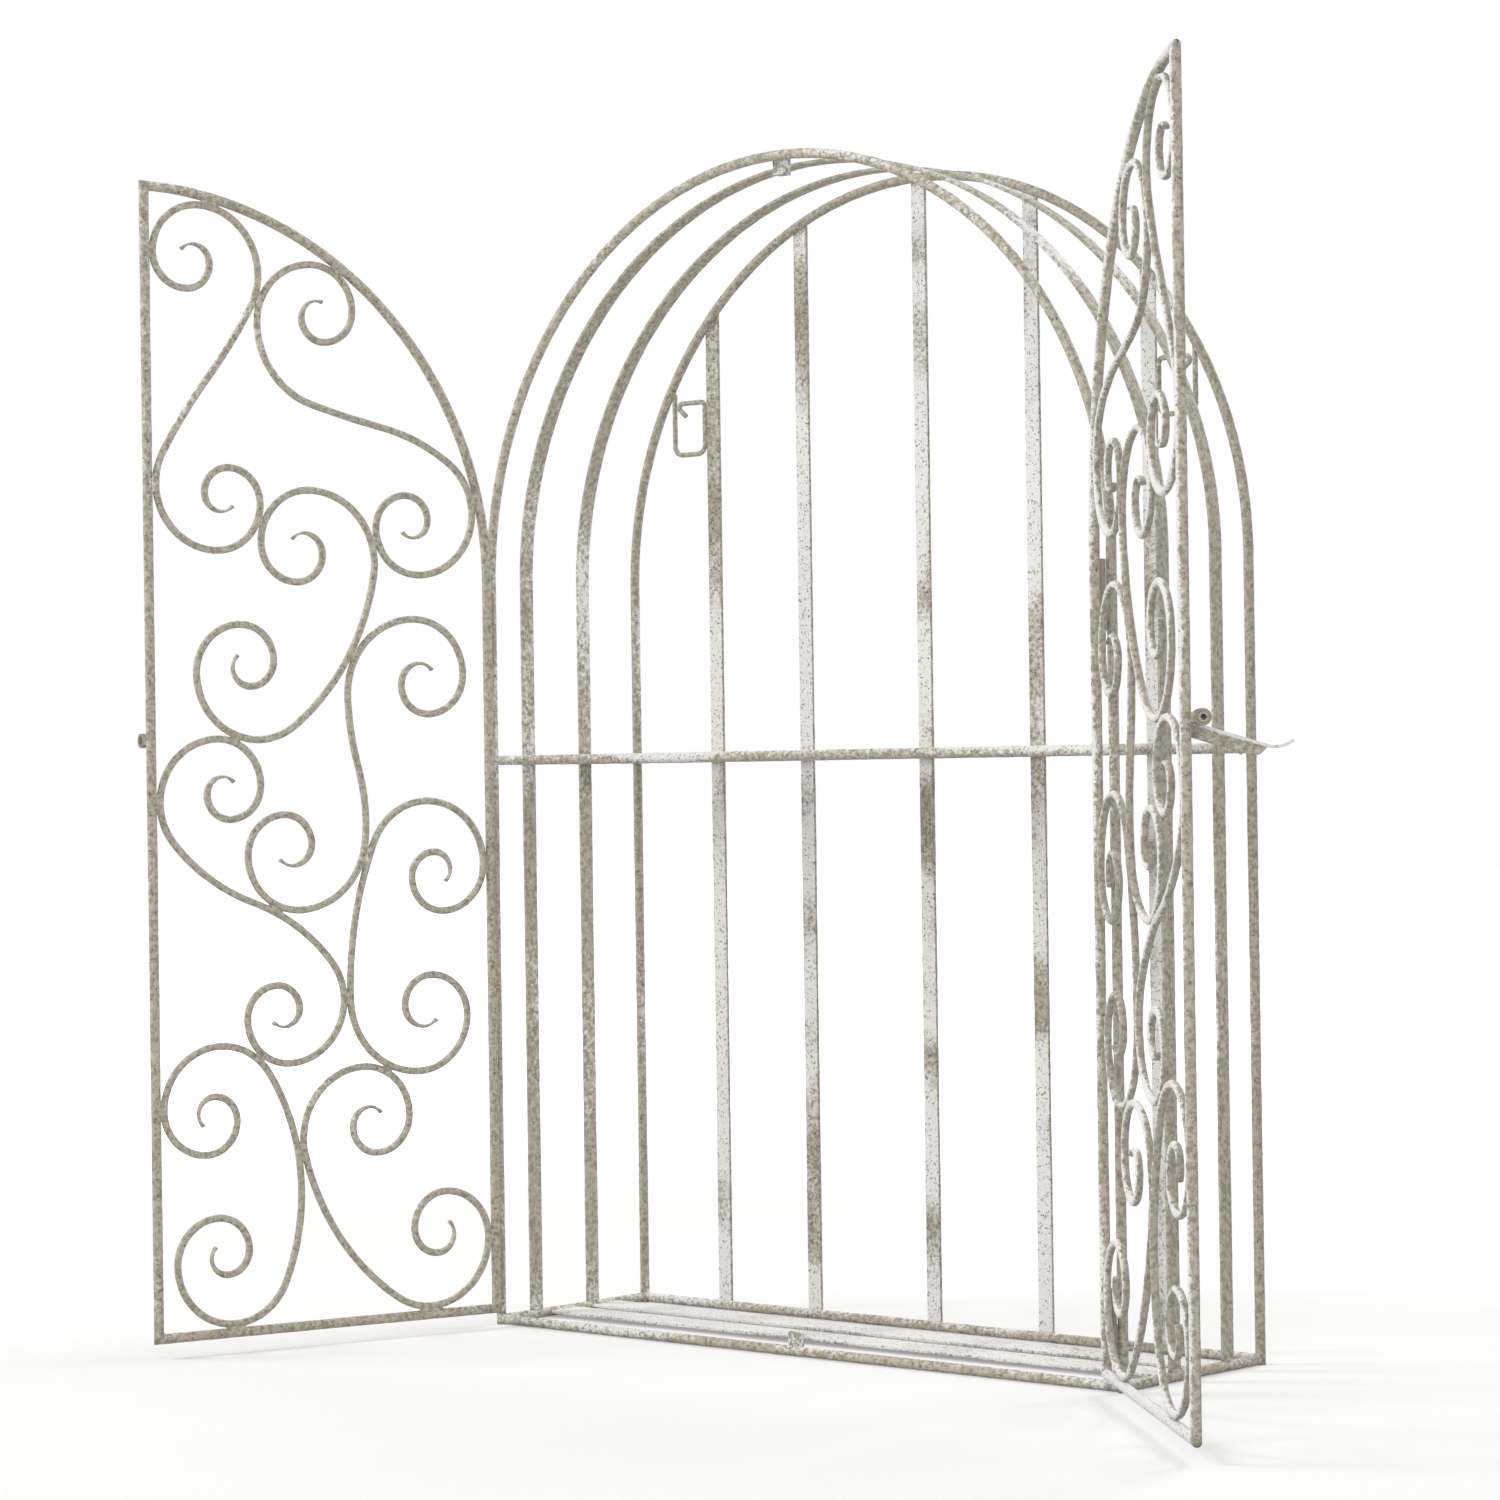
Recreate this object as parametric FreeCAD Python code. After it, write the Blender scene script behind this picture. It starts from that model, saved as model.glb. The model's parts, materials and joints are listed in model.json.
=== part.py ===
import FreeCAD, Part
import math
import os
from collections import namedtuple

# A metal wall cabinet: an arched cage of welded bar, with two scroll-work doors and a sliding latch.
# It is built standing on Z = 0 with the front arch in the plane Y = 0 and the wall behind it,
# and it is moved at the end so that the origin lies on the wall, level with the hanging loops.

Vector = FreeCAD.Vector

# Driving dimensions in millimetres

CABINET_WIDTH = 620.0
CABINET_HEIGHT = 900.0
CABINET_DEPTH = 175.0
FRAME_BAR = 8.0
FLAT_WIDTH = 14.0
FLAT_THICKNESS = 3.0

HOOP_FRONT_PLACE = 50.0
HOOP_REAR_PLACE = 115.0
HOOP_SKEW = 2.0

BACK_BAR_COUNT = 5
BACK_BAR_END_GAP = 88.0
BACK_BAR_2_SHIFT = -13.0

SHELF_HEIGHT = 448.0
SLAT_WIDTH = 32.0
SLAT_FRONT_PLACE = 52.0
SLAT_REAR_PLACE = 99.0

LOOP_WIRE = 4.0
LOOP_SPAN = 33.0
LOOP_UNDER_ARCH = 13.4
LOOP_DROP = 42.0
LOOP_TOP_BEND = 4.0
LOOP_LOW_BEND = 8.0
LOOP_HOOK_BEND = 3.0
LOOP_HOOK_TURN = 140.0
LOOP_TAIL = 8.0

DOOR_BAR = 8.0
DOOR_GAP = 2.5
MEETING_GAP = 4.0
DOOR_FORWARD = 1.0
LEFT_DOOR_OPEN = 106.2
RIGHT_DOOR_OPEN = 137.7

SCROLL_BAR = 6.0
CURL_RATIO = 0.735
CURL_TURN = 414.0

STOP_CLEARANCE = 0.3
TOP_STOP_WIDTH = 10.0
TOP_STOP_DEPTH = 9.0
TOP_STOP_DROP = 10.0
BOTTOM_STOP_WIDTH = 13.0
BOTTOM_STOP_THICKNESS = 3.0
BOTTOM_STOP_RISE = 9.5

HINGE_LOW = 48.0
HINGE_UNDER_SPRING = 34.0
KNUCKLE_LENGTH = 25.0
KNUCKLE_DIAMETER = 7.0
KNUCKLE_GAP = 0.3
HINGE_CLEARANCE = 0.4
HINGE_PIN = 4.0
HINGE_PIN_REACH = 22.0
HINGE_TAB = 3.0
PIN_CLEARANCE = 0.05

LATCH_HEIGHT = 466.0
LATCH_TUBE_OUTSIDE = 11.0
LATCH_TUBE_LENGTH = 10.0
LATCH_STANDOFF = 1.0
LATCH_PAD_WIDTH = 7.0
LATCH_PAD_HEIGHT = 6.0
BOLT_DIAMETER = 7.0
BOLT_LENGTH = 44.0
BOLT_PROUD = 1.5
BOLT_HOLE = 4.0
BOLT_HOLE_DEPTH = 10.0
BOLT_CLEARANCE = 0.05

HANDLE_THICKNESS = 3.0
HANDLE_INSET = 2.5
HANDLE_UNDER = 1.5
HANDLE_RUN = 53.0
HANDLE_WIDTH = 10.5
HANDLE_SHOULDER = 9.0
HANDLE_DROOP = 17.0
HANDLE_TIP_WIDTH = 2.5
HANDLE_TIP_RADIUS = 17.0
HANDLE_TIP_TURN = 58.0

# The scroll pattern of one door, drawn on a panel of its own size: its width between the middles
# of the stiles and its height from the middle of the bottom rail to the spring of the arch.
# Places run across from the hinge stile and up from the bottom rail. A curl keeps its first radius
# up to the compass angle hold_to, then tightens by a ratio every quarter turn, and goes on by the
# angle more before it ends. Inward, the top curl turns anticlockwise where turn is 1. A C-scroll has
# a body of radius bow. An S-scroll has a body that bends gently both ways: sway gives the angles by
# which it leaves the top and the bottom curl before a straight one would.

EAST, NORTH, WEST, SOUTH = 0.0, 90.0, 180.0, 270.0
QUARTER = 90.0
ANGLE_TOLERANCE = 0.001
STRAIGHT_TOLERANCE = 1e-6

Panel = namedtuple("Panel", "width spring")
Curl = namedtuple("Curl", "across up radius hold_to more", defaults=(0.0,))
Scroll = namedtuple("Scroll", "top bottom turn bow sway", defaults=(None, None))

PATTERN_PANEL = Panel(289.5, 575.5)
SCROLLS = (
    Scroll(Curl(246.0, 808.5, 50.5, NORTH), Curl(233.0, 646.0, 50.0, SOUTH), -1, sway=(5.0, 4.5)),
    Scroll(Curl(133.0, 771.5, 64.0, EAST, 60.0), Curl(61.5, 628.5, 49.0, SOUTH), 1, sway=(-1.5, 18.5)),
    Scroll(Curl(155.0, 588.0, 56.0, NORTH), Curl(200.5, 502.5, 51.0, EAST), -1, bow=187.5),
    Scroll(Curl(65.5, 486.5, 58.5, NORTH), Curl(168.0, 378.0, 58.0, SOUTH), 1, sway=(7.0, 13.5)),
    Scroll(Curl(234.5, 404.0, 48.5, NORTH), Curl(178.0, 250.0, 47.5, SOUTH), 1, sway=(16.5, 18.0)),
    Scroll(Curl(56.5, 352.5, 50.0, WEST), Curl(66.0, 250.0, 59.0, SOUTH), 1, bow=314.5),
    Scroll(Curl(235.5, 171.0, 47.5, EAST), Curl(226.5, 53.5, 47.0, EAST), -1, bow=175.0),
    Scroll(Curl(114.0, 144.0, 53.0, NORTH), Curl(58.0, 58.0, 51.5, WEST), 1, bow=195.5),
)

# Places worked out from the driving dimensions

bar_radius = FRAME_BAR / 2
jamb = CABINET_WIDTH / 2 - bar_radius
spring = CABINET_HEIGHT - bar_radius - jamb
wall = CABINET_DEPTH - bar_radius
rear = wall - bar_radius
base = bar_radius

back_bar_pitch = 2 * (jamb - BACK_BAR_END_GAP) / (BACK_BAR_COUNT - 1)
loop_right = -jamb + BACK_BAR_END_GAP - FLAT_WIDTH / 2 - LOOP_WIRE / 2
loop_left = loop_right - LOOP_SPAN
loop_top = spring + math.sqrt(jamb ** 2 - loop_left ** 2) - LOOP_UNDER_ARCH

door_radius = DOOR_BAR / 2
door_plane = -DOOR_FORWARD
door_arch = jamb - bar_radius - DOOR_GAP - door_radius
door_bottom = base + bar_radius + DOOR_GAP + door_radius
door_back = door_plane + door_radius
meeting = MEETING_GAP / 2 + door_radius
door_width = door_arch - meeting
door_top = spring + math.sqrt(door_arch ** 2 - meeting ** 2)

hoop_inside = (jamb - FLAT_THICKNESS / 2) * math.cos(math.radians(HOOP_SKEW))
hoop_lean = FLAT_WIDTH / 2 * math.sin(math.radians(HOOP_SKEW))
shelf_side = hoop_inside - hoop_lean - bar_radius
shelf_front = FRAME_BAR
shelf_rear = wall - FLAT_THICKNESS - bar_radius

latch_plane = door_plane - door_radius - LATCH_STANDOFF - LATCH_TUBE_OUTSIDE / 2


def polar(angle):
    """Unit vector in a drawing plane, as across and up."""
    return Vector(math.cos(math.radians(angle)), 0, math.sin(math.radians(angle)))


def round_bar(start, end, diameter):
    """Straight round bar between two points."""
    return Part.makeCylinder(diameter / 2, (end - start).Length, start, end - start)


def block(low, high):
    """Box between two corners."""
    size = high - low
    return Part.makeBox(size.x, size.y, size.z, low)


def swept(edges, profile):
    """Solid that follows joined edges with one closed profile at their start."""
    return Part.Wire(edges).makePipeShell([profile], True, False)


def round_profile(start, heading, diameter):
    return Part.Wire(Part.Circle(start, heading, diameter / 2).toShape())


def largest(shape):
    """The main piece of a bar, without the offcut beyond what it meets."""
    return max(shape.Solids, key=lambda piece: piece.Volume)


def coped_bar(start, end, others):
    """Frame bar between the middles of two bars, its ends shaped to fit their sides."""
    inset = (end - start).normalize() * bar_radius / 2
    return largest(round_bar(start + inset, end - inset, FRAME_BAR).cut(others))


def mirrored(shape):
    """The same piece on the other side of the cabinet."""
    return shape.mirror(Vector(0, 0, 0), Vector(1, 0, 0))


def arc_or_line(start, heading, end):
    """Edge in the plane of X and Z that leaves start along heading, and its heading at end."""
    chord = end - start
    half_turn = math.atan2(heading.x * chord.z - heading.z * chord.x, heading.dot(chord))
    if abs(half_turn) < STRAIGHT_TOLERANCE:
        return Part.LineSegment(start, end).toShape(), heading
    bulge = Vector(chord.z, 0, -chord.x) * (math.tan(half_turn / 2) / 2)
    edge = Part.Arc(start, (start + end) / 2 + bulge, end).toShape()
    turn = math.degrees(2 * half_turn)
    return edge, FreeCAD.Rotation(Vector(0, -1, 0), turn).multVec(heading)


def traced(start, heading, moves):
    """Edges of a bent wire: a run has a length, a turn has a radius and degrees to the left."""
    edges = []
    for move in moves:
        if len(move) == 1:
            end = start + heading * move[0]
        else:
            radius, degrees = move
            turned = FreeCAD.Rotation(Vector(0, -1, 0), degrees).multVec(heading)
            left = Vector(-heading.z, 0, heading.x) * math.copysign(radius, degrees)
            turned_left = Vector(-turned.z, 0, turned.x) * math.copysign(radius, degrees)
            end = start + left - turned_left
        edge, heading = arc_or_line(start, heading, end)
        edges.append(edge)
        start = end
    return edges


# Carcass

def bar_arch(place):
    """Round bar bent to an arch that stands on the ground at a distance behind the front."""
    left, right = Vector(-jamb, place, 0), Vector(jamb, place, 0)
    up = Vector(0, 0, spring)
    crown = Vector(0, place, spring + jamb)
    edges = [
        Part.LineSegment(left, left + up).toShape(),
        Part.Arc(left + up, crown, right + up).toShape(),
        Part.LineSegment(right + up, right).toShape(),
    ]
    return swept(edges, round_profile(left, up, FRAME_BAR))


def flat_hoop(place, side_bars):
    """Flat bar bent to an arch, turned a little askew, with its feet on the base's side bars."""
    outside, inside = jamb + FLAT_THICKNESS / 2, jamb - FLAT_THICKNESS / 2

    def arch_edges(radius, sense):
        foot, top = Vector(-sense * radius, 0, base), Vector(-sense * radius, 0, spring)
        other_top, other_foot = Vector(sense * radius, 0, spring), Vector(sense * radius, 0, base)
        return [
            Part.LineSegment(foot, top).toShape(),
            Part.Arc(top, Vector(0, 0, spring + radius), other_top).toShape(),
            Part.LineSegment(other_top, other_foot).toShape(),
        ]

    def foot_edge(sense):
        inner, outer = Vector(sense * inside, 0, base), Vector(sense * outside, 0, base)
        return Part.LineSegment(inner, outer).toShape()

    edges = arch_edges(outside, 1) + [foot_edge(1)] + arch_edges(inside, -1) + [foot_edge(-1)]
    outline = Part.Wire(Part.sortEdges(edges)[0])
    hoop = Part.Face(outline).extrude(Vector(0, FLAT_WIDTH, 0))
    hoop.translate(Vector(0, place - FLAT_WIDTH / 2, 0))
    hoop.rotate(Vector(0, place, 0), Vector(0, 0, 1), HOOP_SKEW)
    return hoop.cut(side_bars)


def slat(front_edge, level, reach, side_bars):
    """Flat slat from side to side, level with the bars that it is welded to."""
    low = Vector(-reach, front_edge, level - FLAT_THICKNESS / 2)
    high = Vector(reach, front_edge + SLAT_WIDTH, level + FLAT_THICKNESS / 2)
    return block(low, high).cut(side_bars)


def back_bar(number, rear_bars):
    """Upright flat bar of the back, flush with the wall, between the base and the rear arch."""
    middle = (number - (BACK_BAR_COUNT + 1) / 2) * back_bar_pitch
    if number == 2:
        middle += BACK_BAR_2_SHIFT
    low = Vector(middle - FLAT_WIDTH / 2, wall - FLAT_THICKNESS, base)
    near_side = max(abs(middle) - FLAT_WIDTH / 2, 0)
    high = Vector(middle + FLAT_WIDTH / 2, wall, spring + math.sqrt(jamb ** 2 - near_side ** 2))
    return largest(block(low, high).cut(rear_bars))


def hanging_loop(rear_bars):
    """Wire loop on the outer edge of the first back bar, with its end bent back into a hook."""
    start = Vector(loop_left, wall - LOOP_WIRE / 2, loop_top + FRAME_BAR)
    moves = [
        (LOOP_DROP + FRAME_BAR - LOOP_LOW_BEND,),
        (LOOP_LOW_BEND, QUARTER),
        (LOOP_SPAN - 2 * LOOP_LOW_BEND,),
        (LOOP_LOW_BEND, QUARTER),
        (LOOP_DROP - LOOP_LOW_BEND - LOOP_TOP_BEND,),
        (LOOP_TOP_BEND, QUARTER),
        (LOOP_SPAN - LOOP_TOP_BEND - LOOP_LOW_BEND,),
        (LOOP_HOOK_BEND, LOOP_HOOK_TURN),
        (LOOP_TAIL,),
    ]
    down = Vector(0, 0, -1)
    wire = swept(traced(start, down, moves), round_profile(start, down, LOOP_WIRE))
    return largest(wire.cut(rear_bars))


def carcass():
    parts = {}
    front_arch = parts["front_arch"] = bar_arch(0)
    rear_arch = parts["rear_arch"] = bar_arch(rear)

    front_ends = Vector(-jamb, 0, base), Vector(jamb, 0, base)
    rear_ends = Vector(-jamb, rear, base), Vector(jamb, rear, base)
    arches = [front_arch, rear_arch]
    base_front = parts["base_front_bar"] = coped_bar(*front_ends, arches)
    base_rear = parts["base_rear_bar"] = coped_bar(*rear_ends, arches)
    for side, front, back in zip(("left", "right"), front_ends, rear_ends):
        parts[f"base_{side}_bar"] = coped_bar(front, back, arches + [base_front, base_rear])
    base_sides = [parts["base_left_bar"], parts["base_right_bar"]]
    rear_bars = [rear_arch, base_rear]

    parts["hoop_front"] = flat_hoop(HOOP_FRONT_PLACE, base_sides)
    parts["hoop_rear"] = flat_hoop(HOOP_REAR_PLACE, base_sides)
    for number in range(1, BACK_BAR_COUNT + 1):
        parts[f"back_bar_{number}"] = back_bar(number, rear_bars)

    across = Vector(jamb + bar_radius / 2, 0, 0)
    front_middle = Vector(0, shelf_front, SHELF_HEIGHT)
    rear_middle = Vector(0, shelf_rear, SHELF_HEIGHT)
    front_bar = parts["shelf_front_bar"] = round_bar(front_middle - across, front_middle + across, FRAME_BAR)
    rear_bar = round_bar(rear_middle - across, rear_middle + across, FRAME_BAR)
    parts["shelf_rear_bar"] = largest(rear_bar.cut(rear_arch))
    shelf_ends = [front_bar, rear_bar]
    for side, sign in (("left", -1), ("right", 1)):
        offset = Vector(sign * shelf_side, 0, 0)
        side_ends = front_middle + offset, rear_middle + offset
        parts[f"shelf_{side}_bar"] = coped_bar(*side_ends, shelf_ends)
    shelf_sides = [parts["shelf_left_bar"], parts["shelf_right_bar"]]

    for place, front_edge in (("front", SLAT_FRONT_PLACE), ("rear", SLAT_REAR_PLACE)):
        parts[f"base_slat_{place}"] = slat(front_edge, base, jamb, base_sides)
        parts[f"shelf_slat_{place}"] = slat(front_edge, SHELF_HEIGHT, shelf_side, shelf_sides)

    parts["left_hanging_loop"] = hanging_loop(rear_bars)
    parts["right_hanging_loop"] = mirrored(parts["left_hanging_loop"])

    stop_front = door_back + STOP_CLEARANCE
    crown = spring + jamb
    half_width = TOP_STOP_WIDTH / 2
    top_low = Vector(-half_width, stop_front, crown - bar_radius - TOP_STOP_DROP)
    top_high = Vector(half_width, stop_front + TOP_STOP_DEPTH, crown + bar_radius / 2)
    parts["top_door_stop"] = block(top_low, top_high).cut(front_arch)
    half_width = BOTTOM_STOP_WIDTH / 2
    low = Vector(-half_width, stop_front, base - bar_radius / 2)
    high_back = stop_front + BOTTOM_STOP_THICKNESS
    high = Vector(half_width, high_back, base + bar_radius + BOTTOM_STOP_RISE)
    parts["bottom_door_stop"] = block(low, high).cut(base_front)
    return parts


# Hinges, as lift-off knuckles in front of the gap between jamb and stile

def hinge_axis():
    """Middle of the left hinges: as far from the jamb as from the closed hinge stile."""
    jamb_middle = Vector(-jamb, 0, 0)
    stile_middle = Vector(-door_arch, door_plane, 0)
    half = (stile_middle - jamb_middle) / 2
    reach = max(bar_radius, door_radius) + KNUCKLE_DIAMETER / 2 + HINGE_CLEARANCE
    forward = Vector(half.y, -half.x, 0).normalize()
    return jamb_middle + half + forward * math.sqrt(reach ** 2 - half.Length ** 2)


def hinge_tab(axis, bar_middle, bottom):
    """Plate from a knuckle to the bar that it is welded to."""
    reach = bar_middle - axis
    angle = math.degrees(math.atan2(reach.y, reach.x))
    low = Vector(0, -HINGE_TAB / 2, 0)
    tab = block(low, Vector(reach.Length, HINGE_TAB / 2, KNUCKLE_LENGTH - KNUCKLE_GAP))
    tab.rotate(Vector(0, 0, 0), Vector(0, 0, 1), angle)
    tab.translate(axis + Vector(0, 0, bottom))
    return tab


def hinge_halves(front_arch, stile):
    """Fixed knuckles with their pins, and the moving knuckles that lift off them."""
    axis = hinge_axis()
    up = Vector(0, 0, 1)
    radius = KNUCKLE_DIAMETER / 2
    length = KNUCKLE_LENGTH - KNUCKLE_GAP
    fixed, moving = [], []
    for middle in (HINGE_LOW, spring - HINGE_UNDER_SPRING):
        foot = axis + up * (middle - KNUCKLE_LENGTH)
        seat = axis + up * middle
        knuckle = Part.makeCylinder(radius, length, foot, up)
        pin = Part.makeCylinder(HINGE_PIN / 2, KNUCKLE_LENGTH + HINGE_PIN_REACH, foot, up)
        tab = hinge_tab(axis, Vector(-jamb, 0, 0), foot.z).cut(front_arch)
        fixed.append(knuckle.fuse([pin, tab]).removeSplitter())

        sleeve = Part.makeCylinder(radius, length, seat, up)
        bore = Part.makeCylinder(HINGE_PIN / 2 + PIN_CLEARANCE, length, seat, up)
        tab = hinge_tab(axis, Vector(-door_arch, door_plane, 0), seat.z).cut(stile)
        moving.append(sleeve.fuse(tab).cut(bore).removeSplitter())
    return Part.makeCompound(fixed), Part.makeCompound(moving)


# Scrolls

def curl_stations(curl, leave_angle, turn):
    """Points and headings down a curl, from where the body meets it to the tip."""
    middle = Vector(curl.across, 0, curl.up)
    radius = curl.radius
    angle = leave_angle
    to_hold = turn * (curl.hold_to - leave_angle) % 360
    to_turn = to_hold + CURL_TURN + curl.more
    stations = [(middle + polar(angle) * radius, polar(angle + turn * QUARTER))]
    while to_turn > ANGLE_TOLERANCE:
        if to_hold < ANGLE_TOLERANCE:
            middle = middle + polar(angle) * radius * (1 - CURL_RATIO)
            radius = radius * CURL_RATIO
        to_compass = -turn * angle % QUARTER
        if to_compass < ANGLE_TOLERANCE:
            to_compass = QUARTER
        step = min(to_compass, to_turn)
        angle += turn * step
        to_hold -= step
        to_turn -= step
        stations.append((middle + polar(angle) * radius, polar(angle + turn * QUARTER)))
    return stations


def leave_angles(scroll):
    """Angles at which the body leaves the first circle of the top curl and of the bottom curl."""
    top = Vector(scroll.top.across, 0, scroll.top.up)
    bottom = Vector(scroll.bottom.across, 0, scroll.bottom.up)
    apart = bottom - top
    bearing = math.degrees(math.atan2(apart.z, apart.x))
    if scroll.bow is None:
        share = (scroll.top.radius + scroll.bottom.radius) / apart.Length
        straight = bearing + scroll.turn * math.degrees(math.acos(share))
        top_sway, bottom_sway = scroll.sway
        return straight + scroll.turn * top_sway, straight + 180 + scroll.turn * bottom_sway
    to_top = scroll.bow - scroll.top.radius
    to_bottom = scroll.bow - scroll.bottom.radius
    along = (to_top ** 2 - to_bottom ** 2 + apart.Length ** 2) / (2 * apart.Length)
    aside = math.sqrt(to_top ** 2 - along ** 2)
    left = Vector(-apart.z, 0, apart.x) / apart.Length
    middle = top + apart / apart.Length * along - left * (scroll.turn * aside)
    from_top, from_bottom = top - middle, bottom - middle
    return (
        math.degrees(math.atan2(from_top.z, from_top.x)),
        math.degrees(math.atan2(from_bottom.z, from_bottom.x)),
    )


def fitted(station):
    """A station of the pattern, stretched from the pattern's panel to the door."""
    point, heading = station
    wide = door_width / PATTERN_PANEL.width
    if point.z < PATTERN_PANEL.spring:
        tall = (spring - door_bottom) / PATTERN_PANEL.spring
        up = door_bottom + point.z * tall
    else:
        tall = wide
        up = spring + (point.z - PATTERN_PANEL.spring) * tall
    place = Vector(-door_arch + point.x * wide, door_plane, up)
    return place, Vector(heading.x * wide, 0, heading.z * tall).normalize()


def two_arcs(start, end):
    """Two tangent arcs between two stations, which meet halfway where the headings are alike."""
    (first, leaving), (last, arriving) = start, end
    apart = last - first
    spread = 2 * (1 - leaving.dot(arriving))
    both = apart.dot(leaving + arriving)
    middle = (first + last) / 2
    if spread > STRAIGHT_TOLERANCE:
        reach = (math.sqrt(both ** 2 + spread * apart.dot(apart)) - both) / spread
        middle += (leaving - arriving) * reach / 2
    edge, heading = arc_or_line(first, leaving, middle)
    return [edge, arc_or_line(middle, heading, last)[0]]


def scroll_bar(scroll):
    """One scroll of round bar in the closed left door."""
    top_angle, bottom_angle = leave_angles(scroll)
    bottom_turn = scroll.turn if scroll.bow is None else -scroll.turn
    inward = curl_stations(scroll.top, top_angle, scroll.turn)
    stations = [(point, -heading) for point, heading in reversed(inward)]
    stations += curl_stations(scroll.bottom, bottom_angle, bottom_turn)
    stations = [fitted(station) for station in stations]
    edges = []
    for start, end in zip(stations, stations[1:]):
        edges += two_arcs(start, end)
    return swept(edges, round_profile(*stations[0], SCROLL_BAR))


# Doors

def beyond(corner, normal):
    """Block of cutting size on the far side of a plane through a corner of the door."""
    size = 4 * DOOR_BAR
    box = Part.makeBox(size, size, size, Vector(-size / 2, -size / 2, 0))
    box.Placement = FreeCAD.Placement(corner, FreeCAD.Rotation(Vector(0, 0, 1), normal))
    return box


def door_frame():
    """Closed left door's bars, mitred where they meet at a corner."""
    spring_corner = Vector(-door_arch, door_plane, spring)
    low_hinge = Vector(-door_arch, door_plane, door_bottom)
    low_meeting = Vector(-meeting, door_plane, door_bottom)
    high_meeting = Vector(-meeting, door_plane, door_top)
    up, right = Vector(0, 0, 1), Vector(1, 0, 0)
    spare = DOOR_BAR

    middle = Vector(0, door_plane, spring)
    rise = math.degrees(math.acos(-meeting / door_arch))
    past = math.degrees(spare / door_arch)
    arch_end = middle + polar(rise - past) * door_arch
    arch_half = middle + polar((rise - past + 180) / 2) * door_arch
    arch_edge = Part.Arc(spring_corner, arch_half, arch_end).toShape()
    along_arch = polar(rise + QUARTER)

    hinge_stile = round_bar(low_hinge - up * spare, spring_corner, DOOR_BAR)
    meeting_stile = round_bar(low_meeting - up * spare, high_meeting + up * spare, DOOR_BAR)
    bottom_rail = round_bar(low_hinge - right * spare, low_meeting + right * spare, DOOR_BAR)
    arch_rail = swept([arch_edge], round_profile(spring_corner, up, DOOR_BAR))

    low_hinge_mitre = up - right
    low_meeting_mitre = up + right
    high_mitre = -up - along_arch
    return {
        "hinge_stile": hinge_stile.cut(beyond(low_hinge, -low_hinge_mitre)),
        "bottom_rail": bottom_rail.cut(
            [beyond(low_hinge, low_hinge_mitre), beyond(low_meeting, low_meeting_mitre)]
        ),
        "meeting_stile": meeting_stile.cut(
            [beyond(low_meeting, -low_meeting_mitre), beyond(high_meeting, -high_mitre)]
        ),
        "arch_rail": arch_rail.cut(beyond(high_meeting, high_mitre)),
    }


def latch_tube(stile):
    """Short tube in front of the meeting stile, on a pad that is welded to the stile."""
    along = Vector(-1, 0, 0)
    start = Vector(-MEETING_GAP / 2, latch_plane, LATCH_HEIGHT)
    tube = Part.makeCylinder(LATCH_TUBE_OUTSIDE / 2, LATCH_TUBE_LENGTH, start, along)
    bore_radius = BOLT_DIAMETER / 2 + BOLT_CLEARANCE
    bore = Part.makeCylinder(bore_radius, LATCH_TUBE_LENGTH, start, along)
    half = Vector(LATCH_PAD_WIDTH / 2, 0, LATCH_PAD_HEIGHT / 2)
    low = Vector(-meeting, latch_plane, LATCH_HEIGHT) - half
    high = Vector(-meeting, door_plane, LATCH_HEIGHT) + half
    pad = block(low, high).cut(stile)
    front_pad = max(pad.Solids, key=lambda piece: -piece.CenterOfMass.y)
    return tube.fuse(front_pad).cut(bore).removeSplitter()


def left_door(front_arch):
    """Closed left door's pieces and the fixed halves of its hinges."""
    parts = door_frame()
    for number, scroll in enumerate(SCROLLS, start=1):
        parts[f"scroll_{number}"] = scroll_bar(scroll)
    parts["latch_tube"] = latch_tube(parts["meeting_stile"])
    pins, parts["hinge_barrels"] = hinge_halves(front_arch, parts["hinge_stile"])
    return parts, pins


def latch():
    """Hollow bolt in the closed right door's tube, and the lever welded under it behind the tube."""
    along = Vector(1, 0, 0)
    start = Vector(MEETING_GAP / 2 - BOLT_PROUD, latch_plane, LATCH_HEIGHT)
    bolt = Part.makeCylinder(BOLT_DIAMETER / 2, BOLT_LENGTH, start, along)
    hole = Part.makeCylinder(BOLT_HOLE / 2, BOLT_HOLE_DEPTH, start, along)
    handle = lever()
    handle.rotate(Vector(0, 0, 0), Vector(0, 0, 1), QUARTER)
    handle.translate(start + along * (BOLT_LENGTH - HANDLE_INSET))
    return bolt.cut(hole), largest(handle.cut(bolt))


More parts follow.
